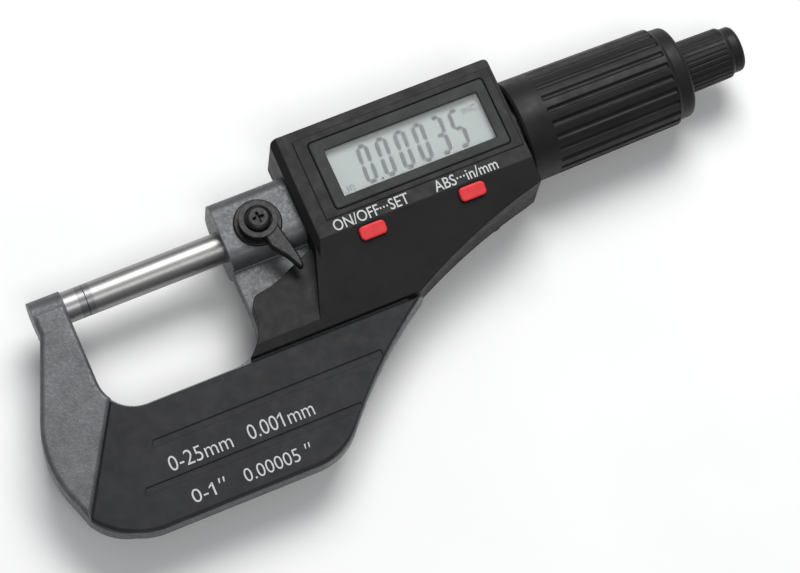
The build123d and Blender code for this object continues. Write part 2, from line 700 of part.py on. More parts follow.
# --- battery, holder, contacts and the turn-lock cover ---
with BuildPart() as battery:
    with BuildSketch(Plane.XY.offset(BATTERY_Z)):
        with Locations((BATTERY_X, BATTERY_Y)):
            Circle(BATTERY_R - 0.6)
    extrude(amount=0.3)
    with BuildSketch(Plane.XY.offset(BATTERY_Z + 0.3)):
        with Locations((BATTERY_X, BATTERY_Y)):
            Circle(BATTERY_R)
    extrude(amount=BATTERY_H - 0.3)
    fillet(battery.faces().sort_by(Axis.Z)[-1].edges(), 0.4)
save(battery, "battery")

with BuildPart() as battery_holder:
    with BuildSketch(Plane.XY.offset(BATTERY_Z + 0.6)):
        with Locations((BATTERY_X, BATTERY_Y)):
            Circle(BATTERY_R + 1.0)
            Circle(BATTERY_R + 0.3, mode=Mode.SUBTRACT)
    extrude(amount=BATTERY_H - 1.2)
    with BuildSketch(Plane.XY.offset(BATTERY_Z + BATTERY_H - 1.6)):
        with Locations((BATTERY_X, BATTERY_Y - BATTERY_R - 0.65)):
            Rectangle(5.0, 0.7)
    extrude(amount=-WEB_HALF - BATTERY_Z - BATTERY_H + 1.6)
save(battery_holder, "battery_holder")

with BuildPart() as contact_negative:
    with BuildSketch(Plane.XY.offset(BATTERY_Z + BATTERY_H)):
        with Locations((BATTERY_X, BATTERY_Y - 1.2)):
            Rectangle(3.0, 9.0)
    extrude(amount=0.15)
save(contact_negative, "contact_negative")

with BuildPart() as contact_positive:
    with BuildSketch(Plane.XY.offset(BATTERY_Z + 0.8)):
        with Locations((BATTERY_X + BATTERY_R + 0.1, BATTERY_Y)):
            Rectangle(0.15, 2.0)
    extrude(amount=BATTERY_H - 1.2)
save(contact_positive, "contact_positive")

with BuildPart() as battery_cover:
    with BuildSketch(Plane.XY.offset(HOUSING_BACK_Z)):
        with Locations((BATTERY_X, BATTERY_Y)):
            Circle(COVER_R)
    extrude(amount=WALL)
    with BuildSketch(Plane.XY.offset(HOUSING_BACK_Z + WALL + FIT_GAP)):
        with Locations((BATTERY_X, BATTERY_Y)):
            Rectangle(2 * COVER_TAB_R, COVER_TAB_W)
            Circle(COVER_R - 0.25, mode=Mode.SUBTRACT)
    extrude(amount=0.6)
    with BuildSketch(Plane.XY.offset(HOUSING_BACK_Z + WALL)):
        with Locations((BATTERY_X, BATTERY_Y)):
            Rectangle(2 * COVER_R - 0.1, COVER_TAB_W)
            Circle(COVER_R - 0.6, mode=Mode.SUBTRACT)
    extrude(amount=0.6 + FIT_GAP)
    with BuildSketch(Plane.XY.offset(HOUSING_BACK_Z)):
        with Locations((BATTERY_X, BATTERY_Y)):
            SlotOverall(9.0, 1.6)
    extrude(amount=0.8, mode=Mode.SUBTRACT)
save(battery_cover, "battery_cover")

with BuildPart() as battery_seal:
    with BuildSketch(Plane.XY.offset(HOUSING_BACK_Z + WALL)):
        with Locations((BATTERY_X, BATTERY_Y)):
            Circle(COVER_R - 0.7)
            Circle(COVER_R - 1.5, mode=Mode.SUBTRACT)
    extrude(amount=0.35)
save(battery_seal, "battery_seal")

# --- sleeve, adjusting nut and set screw ---
with BuildPart() as sleeve:
    with BuildSketch(along_x(SLEEVE_BOSS_X + 1)):
        Circle(SLEEVE_SHANK_R)
    extrude(amount=THIMBLE_X - SLEEVE_BOSS_X - 1)
    with BuildSketch(along_x(HOUSING_RIGHT_X + 0.4)):
        Circle(SLEEVE_R)
    extrude(amount=NUT_X - HOUSING_RIGHT_X - 0.4)
    with BuildSketch(along_x(NUT_X)):
        Circle(SLEEVE_R - 1.3)
    extrude(amount=SLEEVE_END_X - NUT_X)
    with BuildSketch(along_x(SLEEVE_BOSS_X + 1)):
        Circle(THREAD_R + FIT_GAP)
    extrude(amount=SLEEVE_END_X - SLEEVE_BOSS_X - 1, mode=Mode.SUBTRACT)
    with BuildSketch(along_x(SLEEVE_BOSS_X + 1)):
        Circle(THREAD_R + 0.4)
    extrude(amount=30, mode=Mode.SUBTRACT)
    with BuildSketch(Plane.XY.offset(-SLEEVE_SHANK_R - 0.5)):
        with Locations((SET_SCREW_X, 0)):
            Circle(SET_SCREW_R)
    extrude(amount=1.2, mode=Mode.SUBTRACT)
    chamfer(sleeve.faces().sort_by(Axis.X)[-1].edges(), 0.3)
save(sleeve, "sleeve")

with BuildPart() as adjusting_nut:
    with BuildSketch(along_x(NUT_X + 0.5)):
        Circle(SLEEVE_R)
        Circle(SLEEVE_R - 1.3, mode=Mode.SUBTRACT)
    extrude(amount=4.5)
    with BuildSketch(Plane.XY.offset(SLEEVE_R - 0.9)):
        with Locations((NUT_X + 2.75, 0)):
            Circle(0.6)
    extrude(amount=2, mode=Mode.SUBTRACT)
save(adjusting_nut, "adjusting_nut")

with BuildPart() as sleeve_set_screw:
    with BuildSketch(Plane.XY.offset(-SLEEVE_BOSS_R + 0.3)):
        with Locations((SET_SCREW_X, 0)):
            Circle(SET_SCREW_R)
            RegularPolygon(0.6, 6, mode=Mode.SUBTRACT)
    extrude(amount=SLEEVE_BOSS_R - SLEEVE_SHANK_R + 0.2)
save(sleeve_set_screw, "sleeve_set_screw")

# --- spindle, with its keyway and its fine thread as a plain cylinder ---
with BuildPart() as spindle:
    with BuildSketch(along_x(ZERO_GAP + TIP_LENGTH)):
        Circle(SPINDLE_R)
    extrude(amount=THREAD_X - ZERO_GAP - TIP_LENGTH)
    with BuildSketch(along_x(THREAD_X)):
        Circle(THREAD_R)
    extrude(amount=THREAD_END_X - THREAD_X)
    chamfer(spindle.faces().sort_by(Axis.X)[-1].edges(), 0.5)
    with BuildSketch(along_x(THREAD_END_X)):
        Circle(TAPER_SEAT_R)
    extrude(amount=CORE_END_X - THREAD_END_X)
    with BuildSketch(along_x(CORE_END_X)):
        Circle(RATCHET_THREAD_R)
    extrude(amount=-12, mode=Mode.SUBTRACT)
    with BuildSketch(Plane.XY.offset(-KEYWAY_FLOOR)):
        with Locations(((KEYWAY_X + KEYWAY_END_X) / 2, 0)):
            SlotOverall(KEYWAY_END_X - KEYWAY_X, KEY_W + 0.1)
    extrude(amount=-2, mode=Mode.SUBTRACT)
save(spindle, "spindle")

with BuildPart() as spindle_tip:
    with BuildSketch(along_x(ZERO_GAP)):
        Circle(SPINDLE_R)
    extrude(amount=TIP_LENGTH)
    chamfer(spindle_tip.faces().sort_by(Axis.X)[0].edges(), 0.15)
save(spindle_tip, "spindle_tip")

# --- thimble: metal core clamped on the spindle's end, ribbed plastic grip over it ---
with BuildPart() as thimble_core:
    with BuildSketch(along_x(THIMBLE_X + 1)):
        Circle(CORE_R)
    extrude(amount=CORE_END_X - THIMBLE_X - 1)
    with BuildSketch(along_x(THIMBLE_X + 1)):
        Circle(CORE_BORE_R)
    extrude(amount=CORE_WALL_X - THIMBLE_X - 1, mode=Mode.SUBTRACT)
    with BuildSketch(along_x(CORE_WALL_X)):
        Circle(TAPER_SEAT_R)
    extrude(amount=CORE_END_X - CORE_WALL_X, mode=Mode.SUBTRACT)
save(thimble_core, "thimble_core")

draft = tan(radians(THIMBLE_DRAFT))
GRIP_END_R = THIMBLE_R - (THIMBLE_END_X - THIMBLE_X) * draft


def ribs_round(x, radius, count):
    """Planes along a drafted round grip, one at each groove."""
    planes = []
    for index in range(count):
        angle = radians(360 / count * (index + 0.5))
        out = Vector(0, cos(angle), sin(angle))
        planes.append(
            Plane(origin=Vector(x, 0, 0) + out * radius, x_dir=out, z_dir=Vector(1, 0, 0) - out * draft)
        )
    return planes


with BuildPart() as thimble_grip:
    with BuildSketch(Plane.XY):
        with BuildLine():
            Polyline(
                (THIMBLE_X, CORE_BORE_R + 0.4),
                (THIMBLE_X, THIMBLE_R - 0.5),
                (THIMBLE_X + 0.5, THIMBLE_R),
                (RIB_END_X + 0.3, THIMBLE_R - (RIB_END_X + 0.3 - THIMBLE_X) * draft),
                (RIB_END_X + 0.9, GRIP_END_R - 0.6),
                (THIMBLE_END_X - 1.0, GRIP_END_R - 0.7),
            )
            ThreePointArc(
                (THIMBLE_END_X - 1.0, GRIP_END_R - 0.7),
                (THIMBLE_END_X - 0.29, GRIP_END_R - 0.99),
                (THIMBLE_END_X, GRIP_END_R - 1.7),
            )
            Polyline(
                (THIMBLE_END_X, GRIP_END_R - 1.7),
                (THIMBLE_END_X, RATCHET_HUB_R + 0.2),
                (CORE_END_X, RATCHET_HUB_R + 0.2),
                (CORE_END_X, CORE_R),
                (THIMBLE_X + 1, CORE_R),
                (THIMBLE_X + 1, CORE_BORE_R + 0.4),
                (THIMBLE_X, CORE_BORE_R + 0.4),
            )
        make_face()
    revolve(axis=Axis.X)
    with BuildSketch(*ribs_round(RIB_X, THIMBLE_R + 0.15, RIB_COUNT)):
        Circle(0.68)
    extrude(amount=RIB_END_X - RIB_X, mode=Mode.SUBTRACT)
save(thimble_grip, "thimble_grip")

# --- ratchet: toothed base on the spindle, sprung pawl disc inside the knob ---
def face_teeth(x):
    """Ring of small radial teeth on a disc's face."""
    with BuildSketch(along_x(x)) as teeth:
        with PolarLocations(3.3, 12):
            Rectangle(1.6, 0.5)
    return teeth.sketch


with BuildPart() as ratchet_base:
    with BuildSketch(along_x(CORE_END_X)):
        Circle(RATCHET_HUB_R)
    extrude(amount=KNOB_X + 0.1 - CORE_END_X)
    with BuildSketch(along_x(KNOB_X + 0.1)):
        Circle(KNOB_BORE_R - 0.1)
    extrude(amount=PAWL_X - 0.32 - KNOB_X - 0.1)
    extrude(face_teeth(PAWL_X - 0.32), amount=0.3)
    with BuildSketch(along_x(CORE_END_X)):
        Circle(RATCHET_SHAFT_R)
    extrude(amount=PAWL_X - CORE_END_X, mode=Mode.SUBTRACT)
save(ratchet_base, "ratchet_base")

with BuildPart() as ratchet_screw:
    with BuildSketch(along_x(CORE_END_X - 8)):
        Circle(RATCHET_THREAD_R)
    extrude(amount=8)
    with BuildSketch(along_x(CORE_END_X)):
        Circle(RATCHET_SHAFT_R)
    extrude(amount=RATCHET_HEAD_X - CORE_END_X)
    with BuildSketch(along_x(RATCHET_HEAD_X)):
        Circle(RATCHET_HEAD_R)
    extrude(amount=0.7)
    with BuildSketch(along_x(RATCHET_HEAD_X + 0.35)):
        Rectangle(7, 0.8)
    extrude(amount=1, mode=Mode.SUBTRACT)
save(ratchet_screw, "ratchet_screw")

with BuildPart() as ratchet_pawl:
    with BuildSketch(along_x(PAWL_X + 0.3)):
        Circle(KNOB_BORE_R - 0.06)
        Rectangle(2 * KNOB_BORE_R + 0.7, 1.0)
    extrude(amount=1.3)
    extrude(face_teeth(PAWL_X + 0.3), amount=-0.3)
    with BuildSketch(along_x(PAWL_X)):
        Circle(RATCHET_SHAFT_R + 0.06)
    extrude(amount=2, mode=Mode.SUBTRACT)
save(ratchet_pawl, "ratchet_pawl")

SPRING_X = PAWL_X + 2.1
SPRING_END_X = 139.7

with BuildPart() as ratchet_spring:
    with BuildLine() as spring_path:
        Helix(
            pitch=(SPRING_END_X - SPRING_X) / 4,
            height=SPRING_END_X - SPRING_X,
            radius=3.3,
            center=(SPRING_X, 0, 0),
            direction=(1, 0, 0),
        )
    with BuildSketch(Plane(origin=spring_path.line @ 0, z_dir=spring_path.line % 0)):
        Circle(0.3)
    sweep(is_frenet=True)
save(ratchet_spring, "ratchet_spring")

with BuildPart() as ratchet_knob:
    with BuildSketch(Plane.XY):
        with BuildLine():
            Polyline(
                (KNOB_X, KNOB_BORE_R),
                (KNOB_X, KNOB_R - 0.3),
                (KNOB_X + 0.3, KNOB_R),
                (KNOB_END_X - 0.7, KNOB_R - (KNOB_END_X - KNOB_X) * draft),
                (KNOB_END_X, KNOB_R - 0.7),
                (KNOB_END_X, KNOB_CAP_R),
                (KNOB_WALL_END_X, KNOB_CAP_R),
                (KNOB_WALL_END_X, RATCHET_SHAFT_R + 0.06),
                (KNOB_WALL_X, RATCHET_SHAFT_R + 0.06),
                (KNOB_WALL_X, KNOB_BORE_R),
                close=True,
            )
        make_face()
    revolve(axis=Axis.X)
    with BuildSketch(*ribs_round(KNOB_X + 0.8, KNOB_R + 0.05, KNOB_RIB_COUNT)):
        Circle(0.22)
    extrude(amount=KNOB_END_X - KNOB_X - 2.0, mode=Mode.SUBTRACT)
    with BuildSketch(along_x(KNOB_X)):
        Rectangle(2 * KNOB_BORE_R + 0.85, 1.12)
    extrude(amount=KNOB_WALL_X - KNOB_X, mode=Mode.SUBTRACT)
save(ratchet_knob, "ratchet_knob")

with BuildPart() as ratchet_cap:
    with BuildSketch(along_x(KNOB_END_X - 1.0)):
        Circle(KNOB_CAP_R)
    extrude(amount=1.0)
    with BuildSketch(along_x(KNOB_END_X)):
        Circle(KNOB_R - 0.75)
    extrude(amount=RATCHET_CAP_END_X - KNOB_END_X)
    fillet(ratchet_cap.faces().sort_by(Axis.X)[-1].edges(), 1.0)
    with BuildSketch(along_x(KNOB_END_X - 1.0)):
        Circle(RATCHET_HEAD_R + 0.3)
    extrude(amount=0.8, mode=Mode.SUBTRACT)
save(ratchet_cap, "ratchet_cap")

# --- lock: seat, stud, plug, lever and screw ---
with BuildPart() as lock_seat:
    with BuildSketch(Plane.XY.offset(BOSS_R)):
        with Locations((LOCK_X, 0)):
            Circle(LOCK_SEAT_R)
            Circle(LOCK_STUD_R + 0.1, mode=Mode.SUBTRACT)
    extrude(amount=LOCK_SEAT_T)
    chamfer(lock_seat.faces().sort_by(Axis.Z)[-1].edges().sort_by(SortBy.LENGTH)[-1], 0.25)
save(lock_seat, "lock_seat")

with BuildPart() as lock_plug:
    with BuildSketch(Plane.XY.offset(SPINDLE_R + LOCK_PLUG_GAP)):
        with Locations((LOCK_X, 0)):
            Circle(LOCK_STUD_R - FIT_GAP)
    extrude(amount=LOCK_PLUG_L)
save(lock_plug, "lock_plug")

with BuildPart() as lock_stud:
    with BuildSketch(Plane.XY.offset(4.5)):
        with Locations((LOCK_X, 0)):
            Circle(LOCK_STUD_R - FIT_GAP)
    extrude(amount=LEVER_Z - 4.5)
    with BuildSketch(Plane.XY.offset(LEVER_Z)):
        with Locations((LOCK_X, 0)):
            RegularPolygon(LOCK_HEX_R, 6)
    extrude(amount=LOCK_HEX_H)
    with BuildSketch(Plane.XY.offset(LEVER_Z - 2)):
        with Locations((LOCK_X, 0)):
            Circle(LOCK_SCREW_R)
    extrude(amount=4, mode=Mode.SUBTRACT)
save(lock_stud, "lock_stud")

with BuildSketch() as lever_arm:
    with Locations((LOCK_X, 0)):
        Polygon(*LEVER_ARM, align=None)
    fillet(lever_arm.vertices().sort_by(Axis.Y)[:2], 0.35)

with BuildPart() as lock_lever:
    with BuildSketch(Plane.XY.offset(LEVER_Z)):
        add(lever_arm.sketch)
    extrude(amount=LEVER_ARM_T)
    chamfer(lock_lever.faces().sort_by(Axis.Z)[-1].edges(), 0.3)
    with BuildSketch(Plane.XY.offset(LEVER_Z)):
        with Locations((LOCK_X, 0)):
            Circle(LEVER_HUB_R)
    extrude(amount=LEVER_TOP_Z - LEVER_Z)
    with BuildSketch(Plane.XY.offset(LEVER_Z)):
        with Locations((LOCK_X, 0)):
            RegularPolygon(LOCK_HEX_R, 6)
    extrude(amount=LOCK_HEX_H, mode=Mode.SUBTRACT)
    with BuildSketch(Plane.XY.offset(LEVER_Z)):
        with Locations((LOCK_X, 0)):
            Circle(LOCK_SCREW_R)
    extrude(amount=3, mode=Mode.SUBTRACT)
    with BuildSketch(Plane.XY.offset(LOCK_SCREW_Z)):
        with Locations((LOCK_X, 0)):
            Circle(LOCK_SCREW_HEAD_R + 0.2)
    extrude(amount=1, mode=Mode.SUBTRACT)
save(lock_lever, "lock_lever")

with BuildPart() as lock_screw:
    with BuildSketch(Plane.XY.offset(LEVER_Z - 1.8)):
        with Locations((LOCK_X, 0)):
            Circle(LOCK_SCREW_R)
    extrude(amount=LOCK_SCREW_Z - LEVER_Z + 1.8)
    with BuildSketch(Plane.XY.offset(LOCK_SCREW_Z)):
        with Locations((LOCK_X, 0)):
            Circle(LOCK_SCREW_HEAD_R)
    extrude(amount=LOCK_SCREW_HEAD_T)
    fillet(lock_screw.faces().sort_by(Axis.Z)[-1].edges(), 0.9)
    with BuildSketch(Plane.XY.offset(LOCK_SCREW_Z + LOCK_SCREW_HEAD_T - 0.8)):
        with Locations((LOCK_X, 0)):
            Rectangle(2.3, 0.55)
            Rectangle(0.55, 2.3)
    extrude(amount=1, mode=Mode.SUBTRACT)
save(lock_screw, "lock_screw")
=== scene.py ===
import json
import math

import bmesh
import bpy
from mathutils import Matrix, Vector


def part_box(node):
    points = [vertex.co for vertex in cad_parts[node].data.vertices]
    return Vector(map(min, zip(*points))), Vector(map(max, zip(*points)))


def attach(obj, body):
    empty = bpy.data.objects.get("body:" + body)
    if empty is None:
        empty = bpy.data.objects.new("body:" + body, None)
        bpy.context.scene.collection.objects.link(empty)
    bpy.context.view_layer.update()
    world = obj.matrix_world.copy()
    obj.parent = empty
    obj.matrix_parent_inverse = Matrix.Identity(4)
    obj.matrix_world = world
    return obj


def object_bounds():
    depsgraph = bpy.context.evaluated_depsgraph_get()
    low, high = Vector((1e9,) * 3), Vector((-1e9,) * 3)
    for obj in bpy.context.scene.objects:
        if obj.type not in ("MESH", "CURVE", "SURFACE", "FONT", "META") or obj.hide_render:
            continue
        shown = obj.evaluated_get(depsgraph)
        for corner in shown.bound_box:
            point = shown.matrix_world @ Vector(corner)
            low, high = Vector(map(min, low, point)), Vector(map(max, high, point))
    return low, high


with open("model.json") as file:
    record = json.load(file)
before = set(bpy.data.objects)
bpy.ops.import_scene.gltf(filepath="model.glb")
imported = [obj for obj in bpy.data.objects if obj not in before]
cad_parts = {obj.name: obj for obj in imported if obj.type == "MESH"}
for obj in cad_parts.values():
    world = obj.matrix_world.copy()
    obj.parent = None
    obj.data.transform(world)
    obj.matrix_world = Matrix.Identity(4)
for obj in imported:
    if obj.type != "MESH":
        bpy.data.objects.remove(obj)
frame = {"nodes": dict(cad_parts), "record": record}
cad_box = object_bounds()
nodes = frame["nodes"]
BEVEL_SAMPLES = 6

# ---------------------------------------------------------------- materials


class Shader:
    """A node material on one Principled shader, built a node at a time."""

    def __init__(self, name, **sockets):
        self.mat = bpy.data.materials.new(name)
        self.mat.use_nodes = True
        self.tree = self.mat.node_tree
        self.bsdf = self.tree.nodes["Principled BSDF"]
        for key, value in sockets.items():
            self.bsdf.inputs[key.replace("_", " ")].default_value = value
        self.coord = self.tree.nodes.new("ShaderNodeTexCoord").outputs["Object"]

    def node(self, kind, **values):
        made = self.tree.nodes.new("ShaderNode" + kind)
        for key, value in values.items():
            setattr(made, key, value)
        return made

    def link(self, source, target):
        self.tree.links.new(source, target)

    def space(self, stretch):
        """Object coordinates in metres, scaled along each axis."""
        mapping = self.node("Mapping")
        self.link(self.coord, mapping.inputs["Vector"])
        mapping.inputs["Scale"].default_value = stretch
        return mapping.outputs["Vector"]

    def noise(self, scale, detail=2.0, roughness=0.5, stretch=(1, 1, 1)):
        made = self.node("TexNoise")
        self.link(self.space(stretch), made.inputs["Vector"])
        made.inputs["Scale"].default_value = scale
        made.inputs["Detail"].default_value = detail
        made.inputs["Roughness"].default_value = roughness
        return made.outputs["Fac"]

    def cells(self, scale, stretch=(1, 1, 1)):
        made = self.node("TexVoronoi")
        self.link(self.space(stretch), made.inputs["Vector"])
        made.inputs["Scale"].default_value = scale
        return made.outputs["Distance"]

    def ramp(self, value, stops):
        """Maps a value through (position, colour or grey level) stops."""
        made = self.node("ValToRGB")
        self.link(value, made.inputs["Fac"])
        elements = made.color_ramp.elements
        while len(elements) < len(stops):
            elements.new(0.5)
        for element, (place, level) in zip(elements, stops):
            element.position = place
            shade = level if isinstance(level, tuple) else (level, level, level)
            element.color = (*shade, 1.0)
        return made.outputs["Color"]

    def mix(self, factor, low, high):
        """Mixes two colours, either of which may be a socket."""
        made = self.node("Mix", data_type="RGBA")
        self.link(factor, made.inputs["Factor"])
        for end, value in (("A", low), ("B", high)):
            socket = [s for s in made.inputs if s.name == end and s.type == "RGBA"][0]
            if isinstance(value, tuple):
                socket.default_value = (*value, 1.0)
            else:
                self.link(value, socket)
        return [s for s in made.outputs if s.type == "RGBA"][0]

    def edges(self, radius, sharp, flat):
        """0 on open faces and 1 along outer and inner edges, within radius metres."""
        bevel = self.node("Bevel", samples=BEVEL_SAMPLES)
        bevel.inputs["Radius"].default_value = radius
        true_normal = self.node("NewGeometry").outputs["Normal"]
        dot = self.node("VectorMath", operation="DOT_PRODUCT")
        self.link(bevel.outputs["Normal"], dot.inputs[0])
        self.link(true_normal, dot.inputs[1])
        spread = self.node("MapRange")
        self.link(dot.outputs["Value"], spread.inputs["Value"])
        spread.inputs["From Min"].default_value = flat
        spread.inputs["From Max"].default_value = sharp
        return spread.outputs["Result"]

    def bump(self, height, distance, strength=1.0, after=None):
        made = self.node("Bump")
        self.link(height, made.inputs["Height"])
        made.inputs["Distance"].default_value = distance
        made.inputs["Strength"].default_value = strength
        if after is not None:
            self.link(after, made.inputs["Normal"])
        self.link(made.outputs["Normal"], self.bsdf.inputs["Normal"])
        return made.outputs["Normal"]

    def color(self, socket):
        self.link(socket, self.bsdf.inputs["Base Color"])

    def rough(self, socket):
        self.link(socket, self.bsdf.inputs["Roughness"])


def soft_edge(shader, radius):
    """Normal that rounds the edges, for a moulded or cast look."""
    bevel = shader.node("Bevel", samples=BEVEL_SAMPLES)
    bevel.inputs["Radius"].default_value = radius
    return bevel.outputs["Normal"]


def plastic(name, dark, light, rough_low, rough_high, grain=2600, depth=0.00003, edge=0.00035):
    """Moulded plastic with fine spark grain, faint flow marks and soft edges."""
    s = Shader(name, Specular_IOR_Level=0.2)
    broad = s.noise(90, 3.0)
    fine = s.noise(grain, 3.0, 0.6)
    tone = s.mix(s.ramp(broad, [(0.35, 0.0), (0.65, 1.0)]), dark, light)
    s.color(tone)
    s.rough(s.ramp(s.noise(420, 4.0), [(0.3, rough_low), (0.7, rough_high)]))
    s.bump(fine, depth, 0.6, soft_edge(s, edge))
    return s.mat


def hammered_paint():
    """Grey hammertone paint over a casting: metallic flake, dimples, and pale edges that are partly worn
    paint and partly a painted highlight.
    """
    s = Shader("frame_paint", Metallic=0.35, Specular_IOR_Level=0.3)
    flake = s.cells(2300)
    cloud = s.noise(260, 4.0, 0.6)
    base = s.mix(s.ramp(cloud, [(0.3, 0.0), (0.7, 1.0)]), (0.070, 0.074, 0.077),
                 (0.115, 0.120, 0.125))
    spark = s.mix(s.ramp(flake, [(0.0, 1.0), (0.22, 0.0)]), base, (0.22, 0.225, 0.235))
    # Paler colour along the edges: partly worn paint, partly a painted highlight where rounded edges would
    # catch the light.
    s.color(s.mix(s.edges(0.00045, 0.78, 0.97), spark, (0.24, 0.25, 0.26)))
    s.rough(s.ramp(s.noise(1400, 3.0), [(0.3, 0.34), (0.7, 0.56)]))
    dimples = s.bump(s.noise(700, 3.0, 0.55), 0.00012, 0.35, soft_edge(s, 0.0004))
    s.bump(flake, 0.00004, 0.35, dimples)
    return s.mat


def ground_steel(name, low, high, rough_low, rough_high, round_x=True, lines=9000):
    """Ground metal: fine lines round the X axis, or fine scratches running along the Y axis."""
    s = Shader(name, Metallic=1.0)
    stretch = (1, 0.03, 0.03) if round_x else (1, 0.08, 1)
    line = s.noise(lines, 2.0, 0.5, stretch)
    stain = s.noise(140, 4.0)
    s.color(s.mix(s.ramp(stain, [(0.3, 0.0), (0.75, 1.0)]), low, high))
    s.rough(s.ramp(line, [(0.25, rough_low), (0.75, rough_high)]))
    s.bump(line, 0.0000006, 0.1)
    return s.mat


def cap_grain(name, tint, rough_low, rough_high):
    """Satin paint or moulded colour with fine orange peel."""
    s = Shader(name, Specular_IOR_Level=0.3)
    bright = tuple(min(1.0, c * 1.2 + 0.002) for c in tint)
    s.color(s.mix(s.ramp(s.noise(700, 3.0), [(0.3, 0.0), (0.7, 1.0)]), tint, bright))
    s.rough(s.ramp(s.noise(1500, 2.0), [(0.3, rough_low), (0.7, rough_high)]))
    s.bump(s.noise(2200, 3.0), 0.00002, 0.5, soft_edge(s, 0.0003))
    return s.mat


def board():
    """Circuit board: solder mask with lighter green tracks."""
    s = Shader("board_green", Specular_IOR_Level=0.5)
    track = s.ramp(s.cells(500, (1, 2, 1)), [(0.45, 0.0), (0.5, 1.0)])
    s.color(s.mix(track, (0.012, 0.085, 0.035), (0.02, 0.16, 0.06)))
    s.rough(s.ramp(s.noise(600), [(0.3, 0.3), (0.7, 0.5)]))
    s.bump(track, 0.00003, 0.5)
    return s.mat


def lcd():
    """Reflective liquid-crystal panel: pale grey-green with a fine silvery grain."""
    s = Shader("lcd_glass", Specular_IOR_Level=0.25)
    grain = s.noise(5200, 2.0, 0.6)
    broad = s.noise(70, 2.0)
    tone = s.mix(s.ramp(broad, [(0.3, 0.0), (0.7, 1.0)]), (0.37, 0.415, 0.405), (0.405, 0.45, 0.44))
    s.color(s.mix(s.ramp(grain, [(0.35, 0.0), (0.7, 0.35)]), tone, (0.46, 0.50, 0.49)))
    s.rough(s.ramp(grain, [(0.3, 0.55), (0.7, 0.75)]))
    s.bump(grain, 0.000006, 0.4)
    return s.mat


def ink(name, color, vary=0.12):
    """Printed ink, a little uneven."""
    s = Shader(name, Specular_IOR_Level=0.3)
    low = tuple(c * (1 - vary) for c in color)
    s.color(s.mix(s.ramp(s.noise(1800, 3.0), [(0.35, 0.0), (0.65, 1.0)]), low, color))
    s.rough(s.ramp(s.noise(900), [(0.3, 0.5), (0.7, 0.7)]))
    return s.mat


def window():
    """Clear moulded window: nearly all light passes, and the surface shines."""
    s = Shader("window_clear", Specular_IOR_Level=0.5, Alpha=0.10, Roughness=0.06)
    s.color(s.ramp(s.noise(60), [(0.4, (0.90, 0.93, 0.92)), (0.6, (0.96, 0.98, 0.97))]))
    return s.mat


MATERIALS = {
    "frame_paint": hammered_paint(),
    "steel": ground_steel("steel", (0.30, 0.297, 0.292), (0.34, 0.336, 0.33), 0.34, 0.42),
    "carbide": ground_steel("carbide", (0.20, 0.20, 0.205), (0.25, 0.25, 0.255), 0.34, 0.42),
    "plate_black": plastic("plate_black", (0.0165, 0.017, 0.0182), (0.0215, 0.022, 0.0233), 0.52, 0.66),
    "housing_black": plastic("housing_black", (0.0075, 0.0075, 0.0078), (0.0105, 0.0105, 0.0108),
                             0.44, 0.58),
    "bezel_black": plastic("bezel_black", (0.022, 0.0245, 0.0245), (0.030, 0.032, 0.032), 0.5, 0.62),
    "grip_black": plastic("grip_black", (0.008, 0.008, 0.0082), (0.012, 0.012, 0.0122), 0.4, 0.54),
    "window_clear": window(),
    "lcd_glass": lcd(),
    "rubber_black": plastic("rubber_black", (0.02, 0.02, 0.02), (0.03, 0.03, 0.03), 0.7, 0.85),
    "button_red": cap_grain("button_red", (0.62, 0.035, 0.042), 0.4, 0.52),
    "board_green": board(),
    "brass": ground_steel("brass", (0.62, 0.44, 0.18), (0.74, 0.55, 0.26), 0.24, 0.4),
    "aluminium": ground_steel("aluminium", (0.66, 0.66, 0.67), (0.74, 0.74, 0.75), 0.3, 0.45),
    "black_steel": cap_grain("black_steel", (0.004, 0.004, 0.0042), 0.34, 0.5),
    "nickel": ground_steel("nickel", (0.6, 0.59, 0.56), (0.7, 0.69, 0.66), 0.15, 0.28, False),
    "print_pale": ink("print_pale", (0.55, 0.56, 0.56)),
    "lcd_dark": ink("lcd_dark", (0.105, 0.122, 0.12), 0.08),
}

slot_of = {row["node"]: row["material_slot"] for row in frame["record"]["subparts"]}
for name, node in nodes.items():
    node.data.materials.clear()
    node.data.materials.append(MATERIALS[slot_of[name]])

# ---------------------------------------------------------------- printed marks


def as_piece(name, mesh, material, body):
    """A mesh object with one material that rides on a body."""
    piece = bpy.data.objects.new(name, mesh)
    bpy.context.scene.collection.objects.link(piece)
    mesh.materials.clear()
    mesh.materials.append(MATERIALS[material])
    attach(piece, body)
    return piece


def printed(name, text, x_left, x_right, base, top, z, material="print_pale", weight=0.0):
    """Raised print on a face that looks up, fitted between the given edges in metres."""
    curve = bpy.data.curves.new(name, "FONT")
    curve.body = text
    curve.size = 1.0
    curve.resolution_u = 4
    curve.offset = weight
    curve.extrude = 0.01
    writer = bpy.data.objects.new(name + "_writer", curve)
    bpy.context.scene.collection.objects.link(writer)
    bpy.context.view_layer.update()
    mesh = bpy.data.meshes.new_from_object(writer.evaluated_get(bpy.context.evaluated_depsgraph_get()))
    bpy.data.objects.remove(writer)
    xs = [v.co.x for v in mesh.vertices]
    ys = [v.co.y for v in mesh.vertices]
    low, high = Vector((min(xs), min(ys))), Vector((max(xs), max(ys)))
    for v in mesh.vertices:
        u = (v.co.x - low.x) / (high.x - low.x)
        w = (v.co.y - low.y) / (high.y - low.y)
        y = base + w * (top - base)
        raised = PRINT_T if v.co.z > 0 else 0.0
        v.co = (x_left + u * (x_right - x_left), y, z + raised)
    mesh.name = name
    flag_the_ones(mesh, top - base)
    return as_piece(name, mesh, material, "frame")


